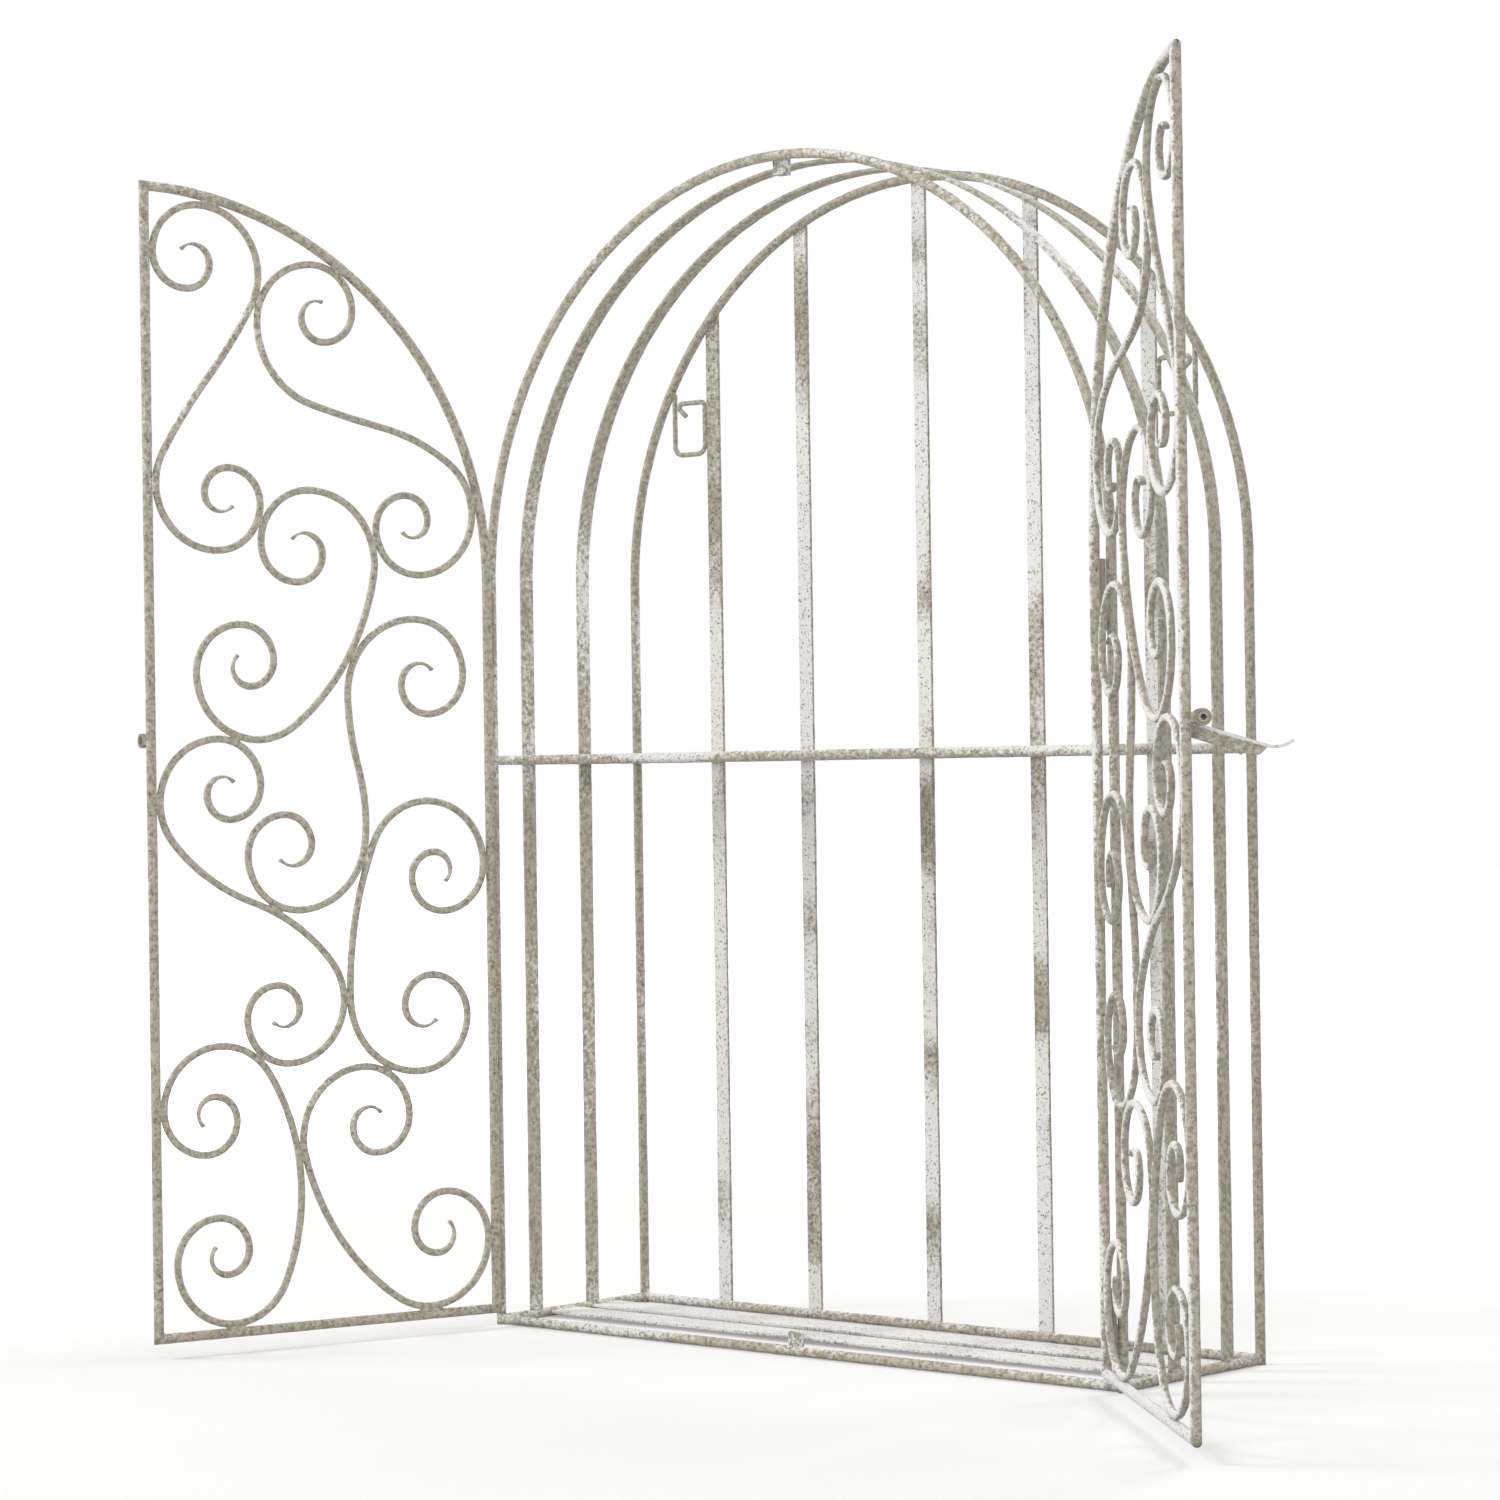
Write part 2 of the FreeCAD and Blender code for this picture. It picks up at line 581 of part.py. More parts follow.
def lever():
    """Drooping lever plate with a thin tip that curls up, drawn towards -X from the bolt's middle."""
    droop = polar(180 + HANDLE_DROOP)
    above = Vector(droop.z, 0, -droop.x)
    heel_top = -above * HANDLE_UNDER
    knee_top = heel_top + droop * HANDLE_RUN
    shoulder = heel_top + droop * (HANDLE_RUN - HANDLE_SHOULDER) - above * HANDLE_WIDTH
    knee_low = knee_top - above * HANDLE_TIP_WIDTH

    heel_low = heel_top - above * HANDLE_WIDTH
    curl_middle = knee_top + above * HANDLE_TIP_RADIUS

    def curl_points(radius):
        turns = (0, HANDLE_TIP_TURN / 2, HANDLE_TIP_TURN)
        spokes = [FreeCAD.Rotation(Vector(0, 1, 0), turn).multVec(-above) for turn in turns]
        return [curl_middle + spoke * radius for spoke in spokes]

    upper = curl_points(HANDLE_TIP_RADIUS)
    lower = curl_points(HANDLE_TIP_RADIUS + HANDLE_TIP_WIDTH)
    outline = [
        Part.LineSegment(heel_top, knee_top).toShape(),
        Part.Arc(*upper).toShape(),
        Part.LineSegment(upper[-1], lower[-1]).toShape(),
        Part.Arc(*lower).toShape(),
        arc_or_line(shoulder, droop, knee_low)[0],
        Part.LineSegment(shoulder, heel_low).toShape(),
        Part.LineSegment(heel_low, heel_top).toShape(),
    ]
    face = Part.Face(Part.Wire(Part.sortEdges(outline)[0]))
    plate = face.extrude(Vector(0, HANDLE_THICKNESS, 0))
    return plate.translated(Vector(0, -HANDLE_THICKNESS / 2, 0))


# Assembly

def swung(shape, axis, angle):
    """Copy of a door's piece, opened about its hinge axis."""
    return shape.rotated(axis, Vector(0, 0, 1), angle)


def assembly():
    parts = carcass()
    door, pins = left_door(parts["front_arch"])
    left_axis = hinge_axis()
    right_axis = Vector(-left_axis.x, left_axis.y, 0)
    parts["left_hinge_pins"] = pins
    parts["right_hinge_pins"] = mirrored(pins)
    for name, shape in door.items():
        parts[f"left_{name}"] = swung(shape, left_axis, -LEFT_DOOR_OPEN)
        parts[f"right_{name}"] = swung(mirrored(shape), right_axis, RIGHT_DOOR_OPEN)
    bolt, handle = latch()
    parts["latch_bolt"] = swung(bolt, right_axis, RIGHT_DOOR_OPEN)
    parts["latch_handle"] = swung(handle, right_axis, RIGHT_DOOR_OPEN)
    return parts


os.makedirs("parts", exist_ok=True)
origin = Vector(0, wall, loop_top)
for node, shape in assembly().items():
    shape.translated(-origin).exportStep(f"parts/{node}.step")
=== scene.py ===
import heapq
import itertools
import json
import math

import bmesh
import bpy
import numpy as np
from mathutils import Matrix, Vector, noise
from mathutils.bvhtree import BVHTree
from mathutils.kdtree import KDTree

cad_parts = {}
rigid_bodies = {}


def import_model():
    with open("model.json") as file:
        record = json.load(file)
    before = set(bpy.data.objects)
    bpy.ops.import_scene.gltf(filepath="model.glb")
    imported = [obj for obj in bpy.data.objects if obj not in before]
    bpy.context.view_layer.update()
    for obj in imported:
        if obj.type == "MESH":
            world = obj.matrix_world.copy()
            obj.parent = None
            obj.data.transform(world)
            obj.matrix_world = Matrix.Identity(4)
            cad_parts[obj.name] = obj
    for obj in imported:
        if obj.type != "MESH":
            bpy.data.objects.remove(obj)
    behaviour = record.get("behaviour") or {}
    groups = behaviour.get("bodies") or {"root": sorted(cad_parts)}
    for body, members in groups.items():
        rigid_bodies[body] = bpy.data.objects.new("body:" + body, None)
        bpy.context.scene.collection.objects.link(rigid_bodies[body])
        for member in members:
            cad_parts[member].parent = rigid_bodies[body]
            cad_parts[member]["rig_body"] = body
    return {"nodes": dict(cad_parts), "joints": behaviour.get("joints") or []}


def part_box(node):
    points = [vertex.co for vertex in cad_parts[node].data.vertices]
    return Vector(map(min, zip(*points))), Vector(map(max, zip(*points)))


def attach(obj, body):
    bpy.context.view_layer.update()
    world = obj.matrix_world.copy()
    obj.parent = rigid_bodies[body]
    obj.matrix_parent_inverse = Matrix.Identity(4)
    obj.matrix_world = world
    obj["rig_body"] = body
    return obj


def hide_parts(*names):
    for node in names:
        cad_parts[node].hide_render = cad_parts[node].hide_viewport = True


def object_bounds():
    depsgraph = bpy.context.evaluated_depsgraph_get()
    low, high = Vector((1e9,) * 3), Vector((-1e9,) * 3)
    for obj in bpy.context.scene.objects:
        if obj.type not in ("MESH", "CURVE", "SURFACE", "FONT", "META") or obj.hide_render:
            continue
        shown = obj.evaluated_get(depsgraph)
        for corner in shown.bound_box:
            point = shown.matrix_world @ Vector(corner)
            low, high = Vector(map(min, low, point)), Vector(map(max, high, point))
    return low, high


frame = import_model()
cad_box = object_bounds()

# Looks of a welded wall cabinet: hammered bars, forged scroll ends, weld beads, and rubbed paint with
# some painted light and shade.
# Lengths are in metres, in the frame of the imported part.

# Mesh of the bars
MOST_SMOOTH_SIDES = 4
RING_STEP = 0.004
SCROLL_STEP = 0.0025
ROUND_SIDES = 20
SCROLL_SIDES = 16
FLAT_SPACING = 0.0022
FLAT_CORNER = 0.0008
CORNER_STEPS = 3

# Dents that the hammer and the scale leave in a bar's skin
HAMMER_PITCH = 0.010
HAMMER_DEPTH = 0.00035
SCALE_PITCH = 0.0034
SCALE_DEPTH = 0.00016

# Forged ends of the scrolls
TIP_LENGTH = 0.034
TIP_THIN = 0.34
NIB_LENGTH = 0.005
NIB_SWELL = 0.30
STATION_GRID = 0.00025
STATION_GAP = 0.0012
STATION_MERGE = 0.0004
CUT_END_RADII = 3.0
SMOOTHING_PASSES = 3

# Paint: its colours
BEIGE = (0.56, 0.510, 0.425)
TAUPE = (0.31, 0.275, 0.220)
CHALK = (0.77, 0.76, 0.73)
BROWN = (0.075, 0.062, 0.046)

# Paint: size of each cloudy texture, with its detail and its roughness
PATCH_SIZE = 0.140
PATCH_CLOUD = (2.0, 0.5)
MOTTLE_SIZE = 0.0036
MOTTLE_CLOUD = (5.0, 0.6)
GRAIN_SIZE = 0.0011
GRAIN_CLOUD = (3.0, 0.6)
SPECK_SIZE = 0.0020
SPECK_CLOUD = (5.0, 0.72)
CLOUD_MEAN = 0.5

# Paint: where the whitewash lies, and where painted highlights lie on faces that look up or in and
# along an edge
# Painted highlight on faces that look up
TOP_PAINTED_HIGHLIGHT = 0.05
RAGGED = 0.50
MOTTLE_SHARE = 0.6
GRAIN_SHARE = 0.4
# Painted highlight on faces that look in towards the middle of the cabinet: the reach over which it
# grows
INSIDE_REACH = 0.31
WASH_RANGE = 0.30
WASH_EDGE = 0.045
# Painted highlight in a ragged band along the lever's upper edge: its width, raggedness, softness and
# strength
RIM_WIDTH = 0.0024
RIM_RAGGED = 0.0012
RIM_EDGE = 0.0003
RIM_PAINTED_HIGHLIGHT = 0.9

# Paint: ground, worn edges and pits
GROUND_RANGE = (0.32, 0.62)
EDGE_POINTINESS = (0.53, 0.62)
RUBBED_RANGE = (0.40, 0.58)
PIT_LIMIT = 0.72
PIT_GAIN = 0.12
PIT_EDGE = 0.02
PIT_STRENGTH = 0.8

# Paint: gloss and relief
GLOSS_RANGE = (0.3, 0.7)
ROUGHNESS_RANGE = (0.55, 0.85)
SPECULAR_LEVEL = 0.3
PAINT_RELIEF = 0.0005
RELIEF_STRENGTH = 0.7
MOTTLE_RELIEF = 0.8
GRAIN_RELIEF = 0.35
PIT_RELIEF = -0.6

# Places of a mix node's sockets for colours, whose names repeat for each kind of value
MIX_FACTOR = 0
MIX_UNDER = 6
MIX_OVER = 7
MIX_RESULT = 2

# Camera: turns in radians, lens and sensor in millimetres
CAMERA_PLACE = (2.0086, -2.4710, -0.3031)
CAMERA_YAW = 0.726
CAMERA_PITCH = -0.0057
CAMERA_ROLL = -0.0145
CAMERA_LENS = 98.2
CAMERA_SENSOR = 36.0

# Surroundings: their light on the object, and the white that the camera sees
WORLD_COLOUR = (1.0, 0.99, 0.97, 1.0)
WORLD_STRENGTH = 0.58
WHITE = (1.0, 1.0, 1.0, 1.0)

# Floor: near the object it shows the shadow, further off it runs into the white background
FLOOR_HALF = 12.0
FLOOR_COLOUR = (0.58, 0.58, 0.58, 1.0)
FLOOR_LIFT = 0.32
FLOOR_FADE = (0.9, 2.6)

# Latch lever
LEVER_MERGE = 1e-6
LEVER_SLIVER = 1e-5
LEVER_FLAT = math.radians(1.0)
LEVER_SHARP = math.radians(40.0)
LEVER_BEVEL = 0.0011
LEVER_BEVEL_STEPS = 3
LEVER_BEVEL_ROUND = 0.5
LEVER_SPACING = 0.0022
LEVER_CUTS = 6
LEVER_UP = 0.7

# Weld beads
WELD_REACH = 0.0011
WELD_CLUSTER = 0.024
WELD_LEAST_POINTS = 3
WELD_HALF_WIDTH = 0.0024
WELD_HALF_LENGTH = (0.0045, 0.0165)
WELD_LUMP_PITCH = 0.0035
WELD_LUMP = 0.0007
BEAD_SUBDIVISIONS = 3

UP = np.array((0.0, 0.0, 1.0))
WIDTHWAYS = np.array((1.0, 0.0, 0.0))
DEPTHWAYS = np.array((0.0, 1.0, 0.0))

nodes = frame["nodes"]
floor_level = cad_box[0][2]


def corners_of(node):
    """Lowest and highest corner of a node, as arrays."""
    low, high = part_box(node)
    return np.array(low), np.array(high)


def unit(vector):
    """The vector at length one."""
    return np.asarray(vector, float) / np.linalg.norm(vector)


def resample(path, step):
    """The path with points an even step apart."""
    lengths = np.linalg.norm(np.diff(path, axis=0), axis=1)
    along = np.concatenate(([0.0], np.cumsum(lengths)))
    count = max(2, int(round(along[-1] / step)) + 1)
    wanted = np.linspace(0.0, along[-1], count)
    return np.column_stack([np.interp(wanted, along, path[:, axis]) for axis in range(3)])


def round_profile(radius, sides):
    """Outline of a round bar."""
    turn = np.linspace(0.0, 2.0 * math.pi, sides, endpoint=False)
    return np.column_stack((radius * np.cos(turn), radius * np.sin(turn)))


def flat_profile(half_thickness, half_width):
    """Outline of a flat bar with rounded edges: thickness across, width along the plane's normal."""
    points = []
    inner = (half_thickness - FLAT_CORNER, half_width - FLAT_CORNER)
    for quarter, (across, out) in enumerate(((1, 1), (-1, 1), (-1, -1), (1, -1))):
        for step in range(CORNER_STEPS + 1):
            turn = (quarter + step / CORNER_STEPS) * math.pi / 2.0
            corner = (
                across * inner[0] + FLAT_CORNER * math.cos(turn),
                out * inner[1] + FLAT_CORNER * math.sin(turn),
            )
            points.append(corner)
    outline = []
    for here, after in zip(points, points[1:] + points[:1]):
        pieces = max(1, int(round(math.dist(here, after) / FLAT_SPACING)))
        for piece in range(pieces):
            share = piece / pieces
            outline.append([a + (b - a) * share for a, b in zip(here, after)])
    return np.array(outline)


def outward(profile):
    """Outward direction at each point of a closed outline."""
    run = np.roll(profile, -1, axis=0) - np.roll(profile, 1, axis=0)
    run /= np.linalg.norm(run, axis=1)[:, None]
    return np.column_stack((run[:, 1], -run[:, 0]))


def dent(point):
    """How far below its full size a bar's skin lies at a point."""
    hammer = noise.noise(Vector(point) / HAMMER_PITCH)
    scale = noise.noise(Vector(point) / SCALE_PITCH)
    return HAMMER_DEPTH * (0.5 + 0.5 * hammer) + SCALE_DEPTH * (0.5 + 0.5 * scale)


def sweep(path, normal, profile, scale=None, planes=(None, None)):
    """Points and faces of a bar: an outline carried along a path that lies in a plane.

    scale gives two factors for each point of the path, across and along the plane's normal;
    planes gives the cut at either end as a point and a direction."""
    normal = unit(normal)
    tangent = np.gradient(path, axis=0)
    tangent /= np.linalg.norm(tangent, axis=1)[:, None]
    side = np.cross(normal, tangent)
    if scale is None:
        scale = np.ones((len(path), 2))
    facing = outward(profile)
    rings = (
        path[:, None, :]
        + side[:, None, :] * (profile[None, :, 0] * scale[:, 0:1])[:, :, None]
        + normal[None, None, :] * (profile[None, :, 1] * scale[:, 1:2])[:, :, None]
    )
    skin = side[:, None, :] * facing[None, :, 0:1] + normal * facing[None, :, 1:2]
    depth = np.array([[dent(point) for point in ring] for ring in rings])
    rings = rings - skin * depth[:, :, None]
    for end, plane in zip((0, -1), planes):
        if plane is None:
            continue
        point, direction = plane
        reach = (point - rings[end]) @ direction / (tangent[end] @ direction)
        rings[end] = rings[end] + tangent[end] * reach[:, None]
    count, around = rings.shape[:2]
    faces = []
    for ring in range(count - 1):
        for spot in range(around):
            beside = (spot + 1) % around
            low, high = ring * around, (ring + 1) * around
            faces.append((low + spot, low + beside, high + beside, high + spot))
    last = (count - 1) * around
    faces.append(tuple(reversed(range(around))))
    faces.append(tuple(range(last, last + around)))
    return rings.reshape(-1, 3), faces


def make_mesh(name, points, faces):
    """A mesh object, smooth apart from faces with many sides, such as a bar's cut end."""
    mesh = bpy.data.meshes.new(name)
    mesh.from_pydata([tuple(point) for point in points], [], faces)
    mesh.polygons.foreach_set("use_smooth", [len(face) <= MOST_SMOOTH_SIDES for face in faces])
    mesh.update()
    piece = bpy.data.objects.new(name, mesh)
    bpy.context.scene.collection.objects.link(piece)
    return piece


def slot_of(node):
    """The material slot that a node of this name has in the record."""
    if "scroll" in node:
        return "scroll_paint"
    if "hinge_pins" in node or "hinge_barrels" in node or "latch" in node:
        return "hinge_paint"
    if node.startswith(("left_", "right_")) and "loop" not in node:
        return "door_paint"
    return "frame_paint"


def stand_in(node, points, faces, material):
    """A forged piece that is shown in place of a node."""
    piece = make_mesh(node + "_forged", points, faces)
    piece.data.materials.append(material)
    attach(piece, nodes[node]["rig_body"])
    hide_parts(node)
    forged.append((piece, nodes[node]["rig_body"]))


def straight_bar(node, material):
    """A straight round or flat bar, along the longest side of the node's box."""
    low, high = corners_of(node)
    half = (high - low) / 2.0
    middle = (low + high) / 2.0
    order = np.argsort(half)
    along = np.eye(3)[order[2]]
    wide = np.eye(3)[order[1]]
    if half[order[1]] - half[order[0]] < FLAT_CORNER:
        profile = round_profile(half[order[0]], ROUND_SIDES)
    else:
        profile = flat_profile(half[order[0]], half[order[1]])
    ends = np.array((middle - along * half[order[2]], middle + along * half[order[2]]))
    stand_in(node, *sweep(resample(ends, RING_STEP), wide, profile), material)


def arch_path(foot, half_span, spring, centre, lean=0.0):
    """Path of an arch: up one leg, over the half circle and down the other leg.

    lean is how far the arch's right side stands behind its middle."""
    turn = np.linspace(math.pi, 0.0, int(math.pi * half_span / RING_STEP))
    crown = np.column_stack((half_span * np.cos(turn), spring + half_span * np.sin(turn)))
    flat = np.vstack(([-half_span, foot], crown, [half_span, foot]))
    depth = centre + lean * flat[:, 0] / half_span
    return resample(np.column_stack((flat[:, 0], depth, flat[:, 1])), RING_STEP)


def round_arch(node, material):
    """The front or the rear arch, a round bar."""
    low, high = corners_of(node)
    radius = (high[1] - low[1]) / 2.0
    half_span = high[0] - radius
    spring = high[2] - high[0]
    path = arch_path(low[2], half_span, spring, (low[1] + high[1]) / 2.0)
    stand_in(node, *sweep(path, DEPTHWAYS, round_profile(radius, ROUND_SIDES)), material)


def flat_hoop(node, material):
    """A flat hoop, a little askew, whose width lies along the cage's depth."""
    low, high = corners_of(node)
    points = np.array([vertex.co for vertex in nodes[node].data.vertices])
    feet = points[points[:, 2] < low[2] + RING_STEP]
    right = feet[feet[:, 0] > 0.0]
    left = feet[feet[:, 0] < 0.0]
    right_middle = (right.min(axis=0) + right.max(axis=0)) / 2.0
    left_middle = (left.min(axis=0) + left.max(axis=0)) / 2.0
    half_span, lean, _ = (right_middle - left_middle) / 2.0
    across = unit((half_span, lean, 0.0))
    normal = np.cross(UP, across)
    half_thickness = np.ptp(right @ across) / 2.0
    half_width = np.ptp(right @ normal) / 2.0
    spring = high[2] - half_thickness - half_span
    path = arch_path(low[2], half_span, spring, (low[1] + high[1]) / 2.0, lean)
    profile = flat_profile(half_thickness, half_width)
    stand_in(node, *sweep(path, normal, profile), material)


def back_bar(node, material):
    """A flat upright of the back, cut at its top to the slope of the rear arch."""
    low, high = corners_of(node)
    arch_low, arch_high = corners_of("rear_arch")
    bar_radius = (arch_high[1] - arch_low[1]) / 2.0
    half_span = arch_high[0] - bar_radius
    spring = arch_high[2] - arch_high[0]
    middle = (low + high) / 2.0
    half = (high - low) / 2.0
    height = spring + math.sqrt(half_span ** 2 - middle[0] ** 2)
    foot = np.array((middle[0], middle[1], low[2]))
    top = np.array((middle[0], middle[1], height))
    slope = unit((middle[0], 0.0, height - spring))
    path = resample(np.array((foot, top)), RING_STEP)
    profile = flat_profile(half[1], half[0])
    rings = sweep(path, WIDTHWAYS, profile, planes=(None, (top, slope)))
    stand_in(node, *rings, material)


def door_layout(side):
    """Corners, directions and arch of a door's bar frame at rest."""
    hinge_low, hinge_high = corners_of(side + "_hinge_stile")
    meeting_low, meeting_high = corners_of(side + "_meeting_stile")
    rail_low, rail_high = corners_of(side + "_bottom_rail")
    joint = next(j for j in frame["joints"] if j["child"] == side + "_door")
    foot = rail_low[2] + (rail_high[2] - rail_low[2]) / 2.0
    hinge = np.append((hinge_low + hinge_high)[:2] / 2.0, foot)
    meeting = np.append((meeting_low + meeting_high)[:2] / 2.0, foot)
    shut = math.radians(max(joint["range_deg"], key=abs))
    arm = (hinge - np.array(joint["pos_m"]))[:2]
    arch_radius = abs(joint["pos_m"][0] + arm[0] * math.cos(shut) - arm[1] * math.sin(shut))
    return {
        "hinge": hinge,
        "meeting": meeting,
        "across": unit(meeting - hinge),
        "spring": hinge_high[2],
        "arch_radius": arch_radius,
        "bar_radius": (rail_high[2] - rail_low[2]) / 2.0,
    }


def door_frame(side, material):
    """The four bars of a door: hinge stile, bottom rail, meeting stile and arch rail, mitred."""
    door = door_layout(side)
    hinge, meeting, across = door["hinge"], door["meeting"], door["across"]
    width = np.linalg.norm(meeting - hinge)
    reach = door["arch_radius"]
    centre = hinge + across * reach
    centre[2] = door["spring"]
    end_turn = math.acos((reach - width) / reach)
    turn = np.linspace(0.0, end_turn, int(reach * end_turn / RING_STEP))[:, None]
    arch = centre - across * reach * np.cos(turn) + UP * reach * np.sin(turn)
    top = arch[-1]
    spring = arch[0]
    normal = np.cross(across, UP)
    profile = round_profile(door["bar_radius"], ROUND_SIDES)
    arch_away = across * -math.sin(end_turn) - UP * math.cos(end_turn)
    foot_cut = (hinge, unit(UP - across))
    heel_cut = (meeting, unit(UP + across))
    top_cut = (top, unit(arch_away + UP))
    bars = {
        "hinge_stile": ((hinge, spring), (foot_cut, None)),
        "bottom_rail": ((hinge, meeting), (foot_cut, heel_cut)),
        "meeting_stile": ((meeting, top), (heel_cut, top_cut)),
        "arch_rail": (arch, (None, top_cut)),
    }
    for part, (points, planes) in bars.items():
        path = resample(np.array(points), RING_STEP)
        stand_in(side + "_" + part, *sweep(path, normal, profile, planes=planes), material)


def joined_stations(node, radius):
    """Points on a round bar's middle line and which of them its mesh joins.

    Each point of the skin lies one radius from the middle line, along its normal."""
    mesh = nodes[node].data
    places = np.array([vertex.co for vertex in mesh.vertices])
    directions = np.array([corner.vector for corner in mesh.corner_normals])
    owners = np.array([loop.vertex_index for loop in mesh.loops])
    inside = places[owners] - directions * radius
    stations = []
    rings, caps = [], []
    for polygon in mesh.polygons:
        loops = list(polygon.loop_indices)
        if polygon.use_smooth:
            rings.append(loops)
        else:
            caps.append(places[owners[loops]].mean(axis=0))
    keys = {}
    number = {}
    for loop in (corner for ring in rings for corner in ring):
        key = tuple(np.round(inside[loop] / STATION_GRID).astype(int))
        if key not in keys:
            keys[key] = len(stations)
            stations.append(inside[loop])
        number[loop] = keys[key]
    links = {station: set() for station in range(len(stations))}
    for ring in rings:
        for here, after in zip(ring, ring[1:] + ring[:1]):
            links[number[here]].add(number[after])
            links[number[after]].add(number[here])
    tree = KDTree(len(stations))
    for station, place in enumerate(stations):
        tree.insert(place, station)
    tree.balance()
    for station, place in enumerate(stations):
        for _, other, _ in tree.find_range(place, STATION_MERGE):
            links[station].add(other)
    return np.array(stations), links, np.array(caps)


def centre_line(node, radius):
    """Middle line of a round bar: the shortest way along its mesh from one cut end to the other."""
    stations, links, caps = joined_stations(node, radius)
    near = np.linalg.norm(caps - caps[0], axis=1) < CUT_END_RADII * radius
    start, finish = caps[near].mean(axis=0), caps[~near].mean(axis=0)
    first = int(np.argmin(np.linalg.norm(stations - start, axis=1)))
    last = int(np.argmin(np.linalg.norm(stations - finish, axis=1)))
    best = {first: 0.0}
    came = {}
    waiting = [(0.0, first)]
    while waiting:
        gone, here = heapq.heappop(waiting)
        if here == last:
            break
        for other in links[here]:
            way = gone + float(np.linalg.norm(stations[other] - stations[here]))
            if way < best.get(other, math.inf):
                best[other] = way
                came[other] = here
                heapq.heappush(waiting, (way, other))
    walk = [last]
    while walk[-1] != first:
        walk.append(came[walk[-1]])
    line = [start]
    for station in reversed(walk):
        if np.linalg.norm(stations[station] - line[-1]) > STATION_GAP:
            line.append(stations[station])
    if np.linalg.norm(finish - line[-1]) < STATION_GAP:
        line.pop()
    line.append(finish)
    return np.array(line)


def smoothed(path):
    """The path with its small steps evened out and its ends kept."""
    for _ in range(SMOOTHING_PASSES):
        inner = (path[:-2] + 2.0 * path[1:-1] + path[2:]) / 4.0
        path = np.vstack((path[:1], inner, path[-1:]))
    return path


def forged_scroll(node, normal, material):
    """A scroll with hammered, thinned ends that finish in a small nib."""
    points = np.array([vertex.co for vertex in nodes[node].data.vertices])
    radius = np.ptp(points @ normal) / 2.0
    path = smoothed(resample(centre_line(node, radius), SCROLL_STEP))
    along = np.arange(len(path)) * SCROLL_STEP
    from_tip = np.minimum(along, along[-1] - along)
    share = np.clip(from_tip / TIP_LENGTH, 0.0, 1.0)
    ease = share * share * (3.0 - 2.0 * share)
    nib = NIB_SWELL * np.clip(1.0 - from_tip / NIB_LENGTH, 0.0, 1.0)
    thin = TIP_THIN + (1.0 - TIP_THIN) * ease + nib
    scale = np.column_stack((thin, np.ones(len(path))))
    profile = round_profile(radius, SCROLL_SIDES)
    stand_in(node, *sweep(path, normal, profile, scale), material)


def socket(tree, shader, name, value):
    """Joins a value or another node's output to a socket."""
    if isinstance(value, bpy.types.NodeSocket):
        tree.links.new(value, shader.inputs[name])
    else:
        shader.inputs[name].default_value = value


def noise_texture(tree, place, size, detail, roughness):
    """A cloudy texture whose features are about as large as size."""
    cloud = tree.nodes.new("ShaderNodeTexNoise")
    tree.links.new(place, cloud.inputs["Vector"])
    cloud.inputs["Scale"].default_value = 1.0 / size
    cloud.inputs["Detail"].default_value = detail
    cloud.inputs["Roughness"].default_value = roughness
    return cloud.outputs["Fac"]


def between(tree, value, low, high, bottom=0.0, top=1.0):
    """A value taken smoothly from the range low to high into the range bottom to top."""
    mapped = tree.nodes.new("ShaderNodeMapRange")
    mapped.interpolation_type = "SMOOTHSTEP"
    socket(tree, mapped, "Value", value)
    mapped.inputs["From Min"].default_value = low
    mapped.inputs["From Max"].default_value = high
    mapped.inputs["To Min"].default_value = bottom
    mapped.inputs["To Max"].default_value = top
    return mapped.outputs["Result"]


def sums(tree, operation, first, second):
    """The result of one operation on two values."""
    summed = tree.nodes.new("ShaderNodeMath")
    summed.operation = operation
    for spot, value in enumerate((first, second)):
        socket(tree, summed, spot, value)
    return summed.outputs[0]


def weighted(tree, *terms):
    """The sum of values, each times its weight."""
    total = 0.0
    for value, weight in terms:
        total = sums(tree, "ADD", sums(tree, "MULTIPLY", value, weight), total)
    return total


def blended(tree, factor, under, over):
    """One colour laid over another by a factor."""
    mix = tree.nodes.new("ShaderNodeMix")
    mix.data_type = "RGBA"
    socket(tree, mix, MIX_FACTOR, factor)
    for spot, colour in ((MIX_UNDER, under), (MIX_OVER, over)):
        if isinstance(colour, bpy.types.NodeSocket):
            tree.links.new(colour, mix.inputs[spot])
        else:
            mix.inputs[spot].default_value = (*colour, 1.0)
    return mix.outputs[MIX_RESULT]


def painted_highlight_band(tree, place, mottle, direction, level):
    """A painted highlight: one in a ragged band along an edge, nothing on the rest of the skin."""
    height = tree.nodes.new("ShaderNodeVectorMath")
    height.operation = "DOT_PRODUCT"
    tree.links.new(place, height.inputs[0])
    height.inputs[1].default_value = direction
    ragged = weighted(tree, (height.outputs["Value"], 1.0), (mottle, RIM_RAGGED))
    start = level - RIM_WIDTH + RIM_RAGGED / 2.0
    return between(tree, ragged, start - RIM_EDGE, start + RIM_EDGE, 0.0, RIM_PAINTED_HIGHLIGHT)


def parts_of(tree, vector):
    """The X, Y and Z parts of a vector."""
    split = tree.nodes.new("ShaderNodeSeparateXYZ")
    tree.links.new(vector, split.inputs[0])
    return split.outputs


def worn_edges(tree, mottle):
    """One where a sharp edge is rubbed bare, nothing on the rest of the skin."""
    geometry = tree.nodes.new("ShaderNodeNewGeometry")
    edge = between(tree, geometry.outputs["Pointiness"], *EDGE_POINTINESS)
    return sums(tree, "MULTIPLY", edge, between(tree, mottle, *RUBBED_RANGE))


